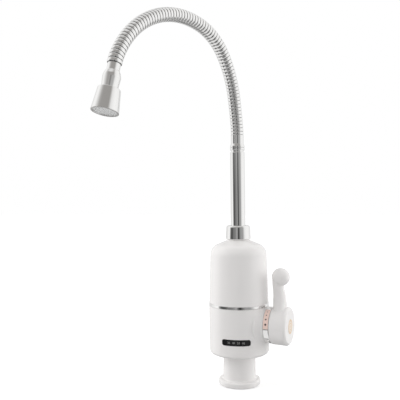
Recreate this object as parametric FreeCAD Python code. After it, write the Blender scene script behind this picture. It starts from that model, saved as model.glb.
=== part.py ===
import FreeCAD
import Part
import math
import os

# Electric instant water heater tap with a side lever and a flexible gooseneck spout, in millimetres.
# The origin is the centre of the base's underside and +Z is up. The lever turns about an axis along +X,
# and the front, with the display, faces -Y. At rest the lever stands up, which is off.

# Clearances
seat = 0.05
running = 0.06
free = 0.3

# Base, neck and water inlet
flange_radius = 21.4
flange_height = 5.6
flange_rounding = 1.8
neck_length = 26.9
neck_foot_radius = 17.2
neck_top_radius = 16.4
neck_fillet = 1.6
spigot_radius = 12.4
gasket_margin = 2.8
gasket_width = 4.0
gasket_height = 1.2
inlet_thread_radius = 9.3
inlet_thread_depth = 14.0
thread_relief = 0.8
thread_relief_depth = 0.5
insert_wall = 1.7
insert_length = 19.0
inlet_tube_radius = 8.0
inlet_bore = 5.5
inlet_engagement = 2.4
strainer_step = 0.5
strainer_height = 1.6
strainer_hole_radius = 0.75
strainer_ring_step = 2.7
strainer_rings = 3
neck_nut_height = 4.0
neck_nut_wall = 2.1
spigot_stand = 0.5

# Casings and chrome band
casing_radius = 31.0
casing_taper = 0.2
casing_rounding = 3.6
casing_wall = 2.6
casing_floor = 3.0
band_rise = 18.2
band_height = 3.1
band_edge = 0.4
collar_wall = 1.6
collar_rise = 2.2
collar_depth = 4.0
upper_step = 0.2
upper_wall = 2.4
shoulder_taper = 2.1
shoulder_rise = 57.4
shoulder_rounding = 12.0
crown_inset = 1.3
crown_rise = 7.1
crown_stand = 1.3
casing_screw_room = 6.4
casing_screw_heading = 150.0
casing_screw_radius = 1.5
casing_screw_head_radius = 2.9
casing_screw_head = 1.6
casing_screw_recess = 0.2
casing_post_radius = 3.5
casing_post_rise = 3.6

# Display in the front of the lower casing
display_heading = 15.0
display_width = 28.6
display_tall = 6.0
display_corner = 2.0
display_proud = 0.2
display_thickness = 2.0
board_lift = 1.05
board_thickness = 1.6
board_tall = 10.0
board_half_length = 17.0
digit_width = 20.0
digit_tall = 5.0
digit_gap = 0.4

# Control knob, lever and dial, along +X
knob_rise = 20.45
boss_stand = 0.6
boss_radius = 18.3
boss_flare_radius = 22.4
boss_flare_reach = 7.6
boss_flare_length = 5.0
barrel_room = 0.8
dial_step = 0.1
dial_width = 6.0
dial_edge = 0.7
dial_spigot = 2.6
dial_spigot_wall = 1.6
knob_step = 0.5
knob_flare = 0.3
knob_length = 16.9
knob_edge = 3.0
knob_wall = 2.4
knob_face_wall = 3.8
hub_radius = 7.0
cap_radius = 7.5
cap_depth = 1.8
cap_dome = 0.3
lever_root_sink = 4.4
lever_root_offset = 8.8
lever_root_thick = 15.0
lever_root_wide = 23.0
lever_foot_rise = 22.6
lever_foot_offset = 6.5
lever_foot_thick = 13.4
lever_foot_wide = 16.0
lever_waist_rise = 30.7
lever_waist_offset = 6.15
lever_waist_thick = 12.4
lever_waist_wide = 13.0
lever_throat_rise = 38.8
lever_throat_offset = 5.1
lever_throat_thick = 11.2
lever_throat_wide = 12.0
lobe_rise = 49.3
lobe_offset = 7.7
lobe_radius = 8.9
lobe_core = 16.0

# Valve, ceramic cartridge and stem, along +X
barrel_radius = 13.6
socket_bottom = 3.0
cartridge_radius = 11.0
cartridge_wall = 2.6
cartridge_seal_width = 2.0
disc_width = 3.0
disc_port_radius = 2.2
disc_port_offset = 4.6
disc_film = 0.03
drive_width = 4.0
cartridge_front = 6.0
cartridge_nut_width = 4.0
stem_radius = 4.0
stem_flat_depth = 1.1
stem_flat_lead = 0.9
stem_thread_radius = 1.9
stem_thread_depth = 7.0
hub_web = 2.4
lever_screw_head_radius = 3.6
lever_screw_head = 2.2
lever_screw_room = 0.55
plate_height = 3.0
plate_room = 2.0
column_wall = 0.7
water_way = 3.5
outlet_tube_radius = 6.5

# Pressure switch: membrane, push pin and microswitch, along -X
membrane_flange_radius = 14.5
membrane_flange_width = 2.4
membrane_width = 1.2
chamber_radius = 9.5
pin_head_radius = 7.5
pin_head_width = 1.2
pin_radius = 2.0
pin_travel = 1.0
cover_wall = 2.4
pin_stand = 0.6
button_radius = 1.4
button_stand = 1.2
button_length = 3.0
switch_room = 1.0
switch_depth = 7.2
switch_width = 6.4
switch_length = 20.0
switch_screw_radius = 1.4
switch_screw_spacing = 9.5
switch_screw_head = 1.0
switch_screw_head_radius = 2.3
cheek_wall = 1.6
cheek_length = 18.0
blade_length = 4.0
blade_width = 3.2
blade_thickness = 0.8

# Heater
tank_lift = 3.2
tank_drop = 9.0
tank_room = 1.15
tank_wall = 1.8
tank_floor = 3.0
tank_flange_width = 4.5
tank_flange_height = 3.0
tank_sleeve = 6.0
tank_sleeve_wall = 3.05
tank_seal_width = 1.3
tank_seal_height = 1.0
lid_height = 4.0
lid_screw_count = 4
lid_screw_offset = 2.1
lid_screw_radius = 1.3
lid_screw_head_radius = 2.1
lid_screw_head = 1.6
coil_room = 1.9
coil_wire_radius = 2.8
coil_half_turns = 7
coil_clear = 4.65
terminal_radius = 2.0
terminal_stand = 4.5
cutout_radius = 7.0
cutout_depth = 4.6
cutout_pad = 0.6
block_length = 20.0
block_depth = 9.0
block_height = 11.0
block_room = 3.0
block_pole_radius = 1.8
block_pole_spacing = 6.2
gland_rise = 6.95
gland_radius = 5.0
gland_flange_width = 1.6
gland_stand = 2.0
gland_inside = 2.0
cord_hole_radius = 3.5

# Spout nut, pipe and ferrule, along +Z
pipe_radius = 7.45
pipe_wall = 1.85
pipe_engagement = 15.0
pipe_rise = 90.8
pipe_edge = 1.2
pipe_collar_width = 1.75
pipe_collar_height = 1.8
pipe_collar_play = 0.45
nipple_wall = 2.55
nut_wall = 2.85
nut_taper = 0.7
nut_height = 14.1
nut_edge = 2.3
nut_lip = 2.4
ring_wire = 1.1
ring_step = 5.0
ferrule_step = 0.1
ferrule_spigot = 6.5
ferrule_neck = 1.6
ferrule_neck_depth = 0.2
ferrule_sleeve = 9.3
bead_stand = 0.85
bead_height = 6.7
bead_crest = 1.3
bead_rounding = 1.6
bead_groove = 0.4
bead_slot = 0.7
bead_slot_depth = 0.8
bead_slot_height = 2.5

# Gooseneck: six tangent bends in one plane, from the ferrule up, over and down
spout_heading = 20.0
foot_bend = 106.0
foot_angle = 6.4
rise_bend = 460.0
rise_angle = 3.5
shoulder_bend = 107.0
shoulder_angle = 22.6
crest_bend = 57.8
crest_angle = 41.7
fall_bend = 85.6
fall_angle = 80.0
end_bend = 50.0
end_angle = 11.8
rib_count = 72
ribs_per_length = 8
rib_radius = 6.6
rib_depth = 1.1
groove_width = 1.1
rib_flank = 0.5
hose_bore = 4.2
hose_tail_step = 0.55
hose_tail = 6.0
water_tube_wall = 1.2

# Nozzle, along the gooseneck's end
adapter_wall = 0.75
adapter_pinch_depth = 0.05
adapter_pinch = 6.6
adapter_shoulder_stand = 0.85
adapter_shoulder = 7.3
adapter_tube_seat = 8.0
adapter_bulge_stand = 2.35
adapter_bulge = 11.4
adapter_foot_depth = 0.9
adapter_length = 22.6
adapter_spigot_step = 0.75
adapter_spigot = 5.0
nozzle_length = 20.6
nozzle_step = 2.75
nozzle_flare = 2.2
nozzle_wall = 1.5
nozzle_shoulder = 3.0
nozzle_edge = 0.8
washer_height = 1.6
screen_recess = 1.0
screen_height = 1.6
screen_hole_radius = 0.6
screen_ring_step = 2.7
screen_rings = 4
core_wall = 1.4

# Heights worked out from the sizes above, from the base up
strainer_bottom = inlet_thread_depth + thread_relief
strainer_top = strainer_bottom + strainer_height
casing_bottom = flange_height + neck_length
floor_top = casing_bottom + casing_floor
spigot_top = floor_top + neck_nut_height + spigot_stand
plate_bottom = spigot_top + seat
plate_top = plate_bottom + plate_height
inlet_tube_top = plate_top + inlet_engagement
display_height = plate_top + board_lift + board_tall / 2
gland_height = plate_top + gland_rise
knob_height = plate_top + knob_rise
band_bottom = knob_height + band_rise
upper_bottom = band_bottom + band_height
shoulder_height = upper_bottom + shoulder_rise
crown_foot = shoulder_height + crown_rise
casing_top = crown_foot + crown_stand
tank_bottom = upper_bottom + tank_lift
tank_top = shoulder_height - tank_drop
outlet_tube_top = tank_bottom + tank_floor
cutout_height = (tank_bottom + tank_top) / 2
coil_bottom = tank_bottom + tank_floor + coil_clear + coil_wire_radius
coil_top = tank_top - coil_clear - coil_wire_radius
coil_pitch = (coil_top - coil_bottom) * 2 / coil_half_turns
nut_top = casing_top + nut_height
nipple_top = nut_top - nut_lip - pipe_collar_play - pipe_collar_height - seat
ring_places = (nipple_top - 2 * ring_step, nipple_top - ring_step)
pipe_bottom = nipple_top - pipe_engagement
pipe_top = casing_top + pipe_rise
bead_bottom = pipe_top + ferrule_neck
bead_top = bead_bottom + bead_height
ferrule_top = bead_top + ferrule_sleeve

# Radii about the tap's axis, from the outside in
insert_radius = inlet_thread_radius + insert_wall
strainer_seat = inlet_thread_radius - strainer_step
column_radius = inlet_tube_radius + 2 * ring_wire + column_wall
gasket_outer_radius = flange_radius - gasket_margin
gasket_inner_radius = gasket_outer_radius - gasket_width
casing_foot_radius = casing_radius - casing_taper
casing_bore = casing_radius - casing_wall
casing_screw_circle = casing_bore - casing_screw_room
plate_radius = casing_bore - plate_room
collar_radius = casing_bore - free
upper_foot_radius = casing_radius - upper_step
upper_bore = casing_bore - seat
shoulder_radius = casing_radius - shoulder_taper
tank_flange_radius = shoulder_radius - upper_wall - tank_room
tank_radius = tank_flange_radius - tank_flange_width
tank_sleeve_radius = outlet_tube_radius + seat + tank_sleeve_wall
lid_screw_circle = tank_radius + lid_screw_offset
coil_radius = tank_radius - tank_wall - coil_room - coil_wire_radius
block_front = math.sqrt(casing_bore ** 2 - (block_length / 2) ** 2) - block_room - block_depth
gland_flange_radius = gland_radius + gland_flange_width
nipple_radius = pipe_radius + nipple_wall
nut_radius = nipple_radius + nut_wall
crown_radius = nut_radius - crown_inset
pipe_bore = pipe_radius - pipe_wall
pipe_collar_radius = pipe_radius + pipe_collar_width

# Places along the knob's axis, to the right of the tap's axis
boss_bore = barrel_radius + barrel_room
boss_root = math.sqrt(casing_bore ** 2 - boss_flare_radius ** 2)
boss_face = casing_radius + boss_stand
boss_flare_start = boss_face - boss_flare_reach
boss_flare_end = boss_flare_start + boss_flare_length
dial_radius = boss_radius + dial_step
knob_inner_radius = dial_radius + knob_step
knob_outer_radius = knob_inner_radius + knob_flare
knob_start = boss_face + dial_width + free
knob_face = knob_start + knob_length
barrel_right = boss_face - dial_spigot
disc_start = socket_bottom + cartridge_seal_width
moving_start = disc_start + disc_width + disc_film
drive_start = moving_start + disc_width
cartridge_end = barrel_right - cartridge_nut_width
stem_flat = stem_radius - stem_flat_depth
stem_flat_start = knob_start - stem_flat_lead
stem_end = knob_face - cap_depth - lever_screw_room - lever_screw_head - hub_web - seat

# Places along the knob's axis, from the casing's left wall in
switch_back = switch_room - casing_bore
switch_face = switch_back + switch_depth
pin_end = switch_face + button_stand
cover_end = pin_end + pin_stand + pin_travel
chamber_end = cover_end + cover_wall
cover_face = chamber_end + 2 * free + pin_travel + pin_head_width
membrane_face = cover_face + membrane_width
barrel_left = membrane_face + membrane_flange_width

# Gooseneck and nozzle, from the outside in and along the bends
groove_radius = rib_radius - rib_depth
hose_tail_radius = groove_radius - hose_tail_step
water_tube_radius = hose_bore - free
water_tube_bore = water_tube_radius - water_tube_wall
ferrule_radius = rib_radius + ferrule_step
ferrule_neck_radius = ferrule_radius - ferrule_neck_depth
bead_radius = ferrule_radius + bead_stand
adapter_neck_radius = hose_tail_radius + adapter_wall
adapter_pinch_radius = adapter_neck_radius - adapter_pinch_depth
adapter_shoulder_radius = adapter_neck_radius + adapter_shoulder_stand
adapter_bulge_radius = adapter_neck_radius + adapter_bulge_stand
adapter_foot_radius = adapter_bulge_radius - adapter_foot_depth
adapter_spigot_radius = adapter_foot_radius - adapter_spigot_step
nozzle_top_radius = adapter_foot_radius + nozzle_step
nozzle_rim_radius = nozzle_top_radius + nozzle_flare
hose_bends = (
    (foot_bend, foot_angle),
    (rise_bend, rise_angle),
    (shoulder_bend, shoulder_angle),
    (crest_bend, crest_angle),
    (fall_bend, fall_angle),
    (end_bend, end_angle),
)
hose_length = sum(radius * math.radians(turn) for radius, turn in hose_bends)
rib_pitch = hose_length / rib_count
hose_lengths = rib_count // ribs_per_length
vector = FreeCAD.Vector
up = vector(0, 0, 1)


def outline(corners):
    """Face in the XZ plane through (radius, height) corners, some with a rounding as a third value."""
    points = [vector(corner[0], 0, corner[1]) for corner in corners]
    edges = []
    stretches = []
    for index, corner in enumerate(corners):
        point = points[index]
        to_last = points[index - 1] - point
        to_next = points[(index + 1) % len(points)] - point
        rounding = corner[2] if len(corner) > 2 else 0
        if rounding == 0:
            stretches.append((point, None, point))
            continue
        half = to_last.getAngle(to_next) / 2
        reach = min(rounding / math.tan(half), 0.48 * to_last.Length, 0.48 * to_next.Length)
        fitted = reach * math.tan(half)
        to_last.normalize()
        to_next.normalize()
        inward = (to_last + to_next).normalize()
        middle = point + inward * (fitted / math.sin(half) - fitted)
        stretches.append((point + to_last * reach, middle, point + to_next * reach))
    for index, (start, middle, end) in enumerate(stretches):
        edges.append(Part.LineSegment(stretches[index - 1][2], start).toShape())
        if middle is not None:
            edges.append(Part.Arc(start, middle, end).toShape())
    return Part.Face(Part.Wire(edges))


def turned(corners):
    """Solid of revolution about Z."""
    return outline(corners).revolve(vector(), up, 360)


def rod(radius, start, end):
    return Part.makeCylinder(radius, end - start, vector(0, 0, start))


def tube(radius, bore, start, end):
    return turned([(bore, start), (radius, start), (radius, end), (bore, end)])


def joined(shapes):
    return shapes[0].multiFuse(shapes[1:]).removeSplitter()


def moved(shape, place):
    copy = shape.copy()
    copy.translate(place)
    return copy


def around(shape, count, radius, heading=0.0):
    """Copies of a shape on a circle about Z, the first one at the heading from +X."""
    places = [math.radians(heading + 360 * index / count) for index in range(count)]
    return [moved(shape, vector(radius * math.cos(turn), radius * math.sin(turn), 0)) for turn in places]


def hole_rings(radius, step, rings, start, end):
    """Rods in the middle and on rings about it, six more on each ring."""
    holes = [rod(radius, start, end)]
    for ring in range(1, rings):
        holes += around(rod(radius, start, end), 6 * ring, step * ring)
    return holes


def on_knob_axis(shape):
    """Turns a shape made along Z to lie along X at the knob's height."""
    copy = shape.copy()
    copy.rotate(vector(), vector(0, 1, 0), 90)
    copy.translate(vector(0, 0, knob_height))
    return copy


def seal_ring(radius, wire_radius, height):
    return Part.makeTorus(radius, wire_radius, vector(0, 0, height))


def d_shaft(radius, flat, start, end):
    """Round shaft along Z with one flat."""
    shaft = rod(radius, start, end)
    waste = Part.makeBox(2 * radius, 2 * radius, end - start, vector(flat, -radius, start))
    return shaft.cut(waste)


# Base and water inlet

def mount_base():
    body = turned([
        (insert_radius + seat, 0),
        (flange_radius, 0, flange_rounding / 2),
        (flange_radius, flange_height, flange_rounding),
        (neck_foot_radius, flange_height, neck_fillet),
        (neck_top_radius, casing_bottom),
        (spigot_radius, casing_bottom),
        (spigot_radius, spigot_top),
        (inlet_tube_radius + seat, spigot_top),
        (inlet_tube_radius + seat, insert_length),
        (insert_radius + seat, insert_length),
    ])
    return body.cut(tube(gasket_outer_radius + seat, gasket_inner_radius - seat, 0, gasket_height))


def base_gasket():
    return tube(gasket_outer_radius, gasket_inner_radius, 0, gasket_height)


def inlet_fitting():
    relief_radius = inlet_thread_radius + thread_relief_depth
    return turned([
        (inlet_thread_radius, 0),
        (insert_radius, 0),
        (insert_radius, insert_length),
        (inlet_tube_radius, insert_length),
        (inlet_tube_radius, inlet_tube_top),
        (inlet_bore, inlet_tube_top),
        (inlet_bore, strainer_top),
        (strainer_seat, strainer_top),
        (strainer_seat, strainer_bottom),
        (relief_radius, strainer_bottom),
        (relief_radius, inlet_thread_depth),
        (inlet_thread_radius, inlet_thread_depth),
    ])


def inlet_strainer():
    disc = rod(strainer_seat - seat, strainer_bottom, strainer_top)
    span = (strainer_bottom, strainer_top)
    return disc.cut(hole_rings(strainer_hole_radius, strainer_ring_step, strainer_rings, *span))


def neck_nut():
    corner_radius = (spigot_radius + neck_nut_wall) / math.cos(math.pi / 6)
    corners = [math.radians(60 * index) for index in range(7)]
    points = [vector(corner_radius * math.cos(a), corner_radius * math.sin(a), floor_top) for a in corners]
    hexagon = Part.Face(Part.makePolygon(points)).extrude(up * neck_nut_height)
    return hexagon.cut(rod(spigot_radius + seat, floor_top, floor_top + neck_nut_height))


# Casings

def display_slot(grow):
    """Bar with round corners through the lower casing's wall, where the display window sits."""
    width = display_width + 2 * grow
    tall = display_tall + 2 * grow
    bar = Part.makeBox(width, tall, 2 * casing_radius, vector(-width / 2, -tall / 2, 0))
    corners = [edge for edge in bar.Edges if abs(edge.Vertexes[0].Z - edge.Vertexes[1].Z) > seat]
    slot = bar.makeFillet(display_corner + grow, corners)
    slot.Placement = display_frame()
    return slot


def display_frame():
    """Place on the tap's axis whose Z points out of the display and whose Y points up."""
    turn = math.radians(display_heading)
    outward = vector(math.sin(turn), -math.cos(turn), 0)
    return FreeCAD.Placement(vector(0, 0, display_height), FreeCAD.Rotation(vector(), up, outward, "ZYX"))


def screw_places(shape):
    return around(shape, 2, casing_screw_circle, casing_screw_heading)


def gland_rod(radius, start, end):
    """Rod along +Y at the height of the cord's gland."""
    return Part.makeCylinder(radius, end - start, vector(0, start, gland_height), vector(0, 1, 0))


def lower_casing():
    shell = turned([
        (spigot_radius + seat, casing_bottom),
        (casing_foot_radius, casing_bottom, casing_rounding),
        (casing_radius, band_bottom),
        (collar_radius, band_bottom),
        (collar_radius, upper_bottom + collar_rise),
        (collar_radius - collar_wall, upper_bottom + collar_rise),
        (collar_radius - collar_wall, band_bottom - collar_depth),
        (casing_bore, band_bottom - collar_depth - casing_wall),
        (casing_bore, floor_top, casing_rounding - casing_wall),
        (spigot_radius + seat, floor_top),
    ])
    boss = on_knob_axis(turned([
        (boss_bore, boss_root),
        (boss_flare_radius, boss_root),
        (boss_flare_radius, boss_flare_start),
        (boss_radius, boss_flare_end, boss_flare_end - boss_flare_start),
        (boss_radius, boss_face, dial_edge),
        (boss_bore, boss_face),
    ]))
    inside = rod(casing_bore, casing_bottom, band_bottom)
    boss = boss.common(rod(2 * casing_radius, casing_bottom, band_bottom)).cut(inside)
    posts = screw_places(rod(casing_post_radius, floor_top, plate_bottom))
    body = joined([shell, boss] + posts)
    head_top = casing_bottom + casing_screw_recess + casing_screw_head
    recesses = screw_places(rod(casing_screw_head_radius + seat, casing_bottom, head_top))
    bores = screw_places(rod(casing_screw_radius + seat, casing_bottom, plate_bottom))
    knob_hole = on_knob_axis(rod(boss_bore, boss_root, boss_face))
    cord_hole = gland_rod(gland_radius + seat, casing_bore - casing_wall, casing_radius)
    return body.cut([knob_hole, cord_hole, display_slot(seat)] + recesses + bores)


def casing_screws():
    head_bottom = casing_bottom + casing_screw_recess
    head_top = head_bottom + casing_screw_head
    screw = turned([
        (0, head_bottom),
        (casing_screw_head_radius, head_bottom, casing_screw_head / 2),
        (casing_screw_head_radius, head_top),
        (casing_screw_radius, head_top),
        (casing_screw_radius, plate_top + casing_post_rise - seat),
        (0, plate_top + casing_post_rise - seat),
    ])
    return Part.makeCompound(screw_places(screw))


def trim_ring():
    return turned([
        (collar_radius + seat, band_bottom),
        (casing_radius, band_bottom, band_edge),
        (casing_radius, upper_bottom, band_edge),
        (collar_radius + seat, upper_bottom),
    ])


def upper_casing():
    slope = math.atan2(crown_rise, shoulder_radius - crown_radius)
    drop = upper_wall / math.cos(slope)
    inner_shoulder = shoulder_radius - upper_wall
    inner_height = shoulder_height - drop + upper_wall * math.tan(slope)
    inner_top = crown_foot - drop
    return turned([
        (upper_bore, upper_bottom),
        (upper_foot_radius, upper_bottom),
        (shoulder_radius, shoulder_height, shoulder_rounding),
        (crown_radius, crown_foot),
        (crown_radius, casing_top),
        (nipple_radius + free, casing_top),
        (nipple_radius + free, inner_top),
        (crown_radius, inner_top),
        (inner_shoulder, inner_height, shoulder_rounding - upper_wall),
    ])


def display_window():
    front = casing_radius + display_proud
    wall = tube(front, front - display_thickness, casing_bottom, band_bottom)
    return wall.common(display_slot(0))


def display_board():
    """Circuit board wedged between the casing's walls, with a block of digits facing the window."""
    board_back = math.sqrt((casing_bore - seat) ** 2 - board_half_length ** 2) - board_thickness
    corner = vector(-board_half_length, -board_tall / 2, board_back)
    board = Part.makeBox(2 * board_half_length, board_tall, board_thickness, corner)
    window_back = casing_radius + display_proud - display_thickness
    digit_front = math.sqrt((window_back - digit_gap) ** 2 - (digit_width / 2) ** 2)
    digit_back = board_back + board_thickness
    corner = vector(-digit_width / 2, -digit_tall / 2, digit_back)
    digits = Part.makeBox(digit_width, digit_tall, digit_front - digit_back, corner)
    body = joined([board, digits])
    body.Placement = display_frame()
    return body


# Valve and cartridge

def valve_body():
    plate = rod(plate_radius, plate_bottom, plate_top)
    column = rod(column_radius, plate_bottom, knob_height)
    barrel = on_knob_axis(rod(barrel_radius, barrel_left, barrel_right))
    flange = on_knob_axis(rod(membrane_flange_radius, membrane_face, barrel_left))
    riser = rod(outlet_tube_radius, knob_height, outlet_tube_top)
    posts = screw_places(rod(casing_post_radius, plate_bottom, plate_top + casing_post_rise))
    body = joined([plate, column, barrel, flange, riser] + posts)
    ring_top = inlet_tube_top - seat
    cuts = [
        rod(inlet_tube_radius + seat, plate_bottom, inlet_tube_top + seat),
        tube(inlet_tube_radius + 2 * ring_wire, inlet_tube_radius, ring_top - 2 * ring_wire, ring_top),
        rod(water_way, inlet_tube_top, knob_height),
        on_knob_axis(rod(cartridge_radius + seat, socket_bottom, barrel_right)),
        on_knob_axis(moved(rod(disc_port_radius, 0, socket_bottom), vector(disc_port_offset, 0, 0))),
        on_knob_axis(rod(membrane_flange_radius, -casing_bore, membrane_face)),
        on_knob_axis(rod(chamber_radius, membrane_face, membrane_face + membrane_width)),
        on_knob_axis(moved(rod(disc_port_radius, membrane_face, 0), vector(-water_way, 0, 0))),
        rod(water_way, knob_height + water_way, outlet_tube_top),
    ]
    bores = screw_places(rod(casing_screw_radius + seat, plate_bottom, plate_top + casing_post_rise))
    return body.cut(cuts + bores)


def inlet_o_ring():
    return seal_ring(inlet_tube_radius + ring_wire, ring_wire - seat, inlet_tube_top - seat - ring_wire)


def ported(shape):
    """Cuts the two water ports through a disc of the cartridge, which lies along Z."""
    port = rod(disc_port_radius, socket_bottom, cartridge_end)
    return shape.cut([moved(port, vector(side * disc_port_offset, 0, 0)) for side in (-1, 1)])


def cartridge_seal():
    return on_knob_axis(ported(rod(cartridge_radius, socket_bottom, disc_start)))


def fixed_disc():
    radius = cartridge_radius - cartridge_wall - seat
    return on_knob_axis(ported(rod(radius, disc_start, disc_start + disc_width)))


def moving_disc():
    radius = cartridge_radius - cartridge_wall - running
    disc = rod(radius, moving_start, drive_start)
    window = Part.makeBox(disc_port_offset, 2 * disc_port_radius, disc_width)
    window.translate(vector(disc_port_radius / 2, -disc_port_radius, moving_start))
    return on_knob_axis(disc.cut(window))


def cartridge_body():
    front = cartridge_end - cartridge_front
    return on_knob_axis(turned([
        (cartridge_radius - cartridge_wall, disc_start),
        (cartridge_radius, disc_start),
        (cartridge_radius, cartridge_end),
        (stem_radius + running, cartridge_end),
        (stem_radius + running, front),
        (cartridge_radius - cartridge_wall, front),
    ]))


def cartridge_nut():
    end = cartridge_end + cartridge_nut_width
    return on_knob_axis(tube(cartridge_radius, stem_radius + 2 * free, cartridge_end, end))


# Lever, turning with the stem

def valve_stem():
    drive_radius = cartridge_radius - cartridge_wall - running
    drive = rod(drive_radius, drive_start, drive_start + drive_width)
    shaft = rod(stem_radius, drive_start, stem_flat_start)
    end = d_shaft(stem_radius, stem_flat, stem_flat_start, stem_end)
    body = joined([drive, shaft, end])
    return on_knob_axis(body.cut(rod(stem_thread_radius + seat, stem_end - stem_thread_depth, stem_end)))


def lever_section(rise, offset, thick, wide):
    """Level oval through the lever's arm, at a height over the knob's axis."""
    centre = vector(knob_start + offset, 0, knob_height + rise)
    oval = Part.Ellipse(centre + vector(0, wide / 2, 0), centre - vector(thick / 2, 0, 0), centre)
    return Part.Wire(oval.toShape())


def control_lever():
    web_start = stem_end + seat
    web_end = web_start + hub_web
    knob = turned([
        (0, knob_start),
        (knob_inner_radius, knob_start, dial_edge),
        (knob_outer_radius, knob_face, knob_edge),
        (0, knob_face),
    ])
    hollow = tube(knob_inner_radius - knob_wall, hub_radius, knob_start, knob_face - knob_face_wall)
    keyway = d_shaft(stem_radius + seat, stem_flat + seat, knob_start, web_start)
    screw_hole = rod(stem_thread_radius + seat, web_start, web_end)
    head_pocket = rod(lever_screw_head_radius + free, web_end, knob_face)
    cap_pocket = rod(cap_radius + seat, knob_face - cap_depth, knob_face)
    root_rise = knob_inner_radius - lever_root_sink
    arm = Part.makeLoft([
        lever_section(root_rise, lever_root_offset, lever_root_thick, lever_root_wide),
        lever_section(lever_foot_rise, lever_foot_offset, lever_foot_thick, lever_foot_wide),
        lever_section(lever_waist_rise, lever_waist_offset, lever_waist_thick, lever_waist_wide),
        lever_section(lever_throat_rise, lever_throat_offset, lever_throat_thick, lever_throat_wide),
        lever_section(lobe_rise, lobe_offset, lobe_core, lobe_core),
    ], True)
    lobe = Part.makeSphere(lobe_radius, vector(knob_start + lobe_offset, 0, knob_height + lobe_rise))
    lever = joined([on_knob_axis(knob), arm, lobe])
    return lever.cut([on_knob_axis(hole) for hole in (hollow, keyway, screw_hole, head_pocket, cap_pocket)])


def lever_screw():
    head_start = stem_end + seat + hub_web
    return on_knob_axis(turned([
        (0, stem_end - stem_thread_depth + seat),
        (stem_thread_radius, stem_end - stem_thread_depth + seat),
        (stem_thread_radius, head_start),
        (lever_screw_head_radius, head_start),
        (lever_screw_head_radius, head_start + lever_screw_head, lever_screw_head / 2),
        (0, head_start + lever_screw_head),
    ]))


def knob_cap():
    return on_knob_axis(turned([
        (0, knob_face - cap_depth),
        (cap_radius, knob_face - cap_depth),
        (cap_radius, knob_face),
        (cap_radius - cap_dome, knob_face + cap_dome),
        (0, knob_face + cap_dome),
    ]))


def dial_ring():
    end = boss_face + dial_width
    spigot_outer = boss_bore - seat
    bore = spigot_outer - dial_spigot_wall
    return on_knob_axis(turned([
        (bore, boss_face - dial_spigot),
        (spigot_outer, boss_face - dial_spigot),
        (spigot_outer, boss_face),
        (dial_radius, boss_face, dial_edge),
        (dial_radius, end, dial_edge),
        (bore, end),
    ]))


# Pressure switch

def membrane():
    return on_knob_axis(rod(membrane_flange_radius, cover_face, membrane_face))


def switch_screw_rods(radius, half_length):
    """Rods along Y through the microswitch and the cheeks that hold it."""
    centre = (switch_face + switch_back) / 2
    rods = []
    for side in (-1, 1):
        start = vector(centre, -half_length, knob_height + side * switch_screw_spacing / 2)
        rods.append(Part.makeCylinder(radius, 2 * half_length, start, vector(0, 1, 0)))
    return rods


def membrane_cover():
    cap = rod(membrane_flange_radius, cover_end, cover_face)
    chamber = rod(chamber_radius, chamber_end, cover_face)
    guide = rod(pin_radius + running, cover_end, chamber_end)
    cap = on_knob_axis(cap.cut([chamber, guide]))
    cheek_inside = switch_width / 2 + seat
    reach = cover_end - switch_back
    low = knob_height - cheek_length / 2
    cheeks = [
        Part.makeBox(reach, cheek_wall, cheek_length, vector(switch_back, cheek_inside, low)),
        Part.makeBox(reach, cheek_wall, cheek_length, vector(switch_back, -cheek_inside - cheek_wall, low)),
    ]
    body = joined([cap] + cheeks)
    return body.cut(switch_screw_rods(switch_screw_radius + seat, cheek_inside + cheek_wall))


def press_pin():
    return on_knob_axis(turned([
        (0, pin_end),
        (pin_radius, pin_end),
        (pin_radius, cover_face - free - pin_head_width),
        (pin_head_radius, cover_face - free - pin_head_width),
        (pin_head_radius, cover_face - free),
        (0, cover_face - free),
    ]))


def switch_button():
    return on_knob_axis(rod(button_radius, pin_end - button_length, pin_end))


def microswitch():
    corner = vector(switch_back, -switch_width / 2, knob_height - switch_length / 2)
    case = Part.makeBox(switch_depth, switch_width, switch_length, corner)
    middle = (switch_face + switch_back) / 2
    low = knob_height - switch_length / 2 - blade_length
    blades = []
    for side in (-1, 1):
        place = vector(middle + side * switch_depth / 4 - blade_thickness / 2, -blade_width / 2, low)
        blades.append(Part.makeBox(blade_thickness, blade_width, blade_length, place))
    bore_end = pin_end - button_length - pin_travel - free
    bore = on_knob_axis(rod(button_radius + running, bore_end, switch_face))
    return joined([case] + blades).cut([bore] + switch_screw_rods(switch_screw_radius + seat, switch_width))


def switch_screws():
    grip = switch_width / 2 + seat + cheek_wall
    shanks = switch_screw_rods(switch_screw_radius, grip)
    heads = switch_screw_rods(switch_screw_head_radius, grip + switch_screw_head)
    corner = vector(switch_back - switch_length, -grip, knob_height - switch_length)
    between = Part.makeBox(2 * switch_length, 2 * grip, 2 * switch_length, corner)
    return Part.makeCompound([joined([shank, head.cut(between)]) for shank, head in zip(shanks, heads)])


# Heater

def terminal_rods(radius):
    """Upright rods at the heating coil's two ends, one down through the floor and one up through the lid."""
    low_end = tank_bottom - terminal_stand
    high_end = tank_top + lid_height + terminal_stand
    turn = math.pi * coil_half_turns
    low = moved(rod(radius, low_end, coil_bottom), vector(coil_radius, 0, 0))
    high_place = vector(coil_radius * math.cos(turn), coil_radius * math.sin(turn), 0)
    high = moved(rod(radius, coil_top, high_end), high_place)
    return [low, high]


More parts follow.
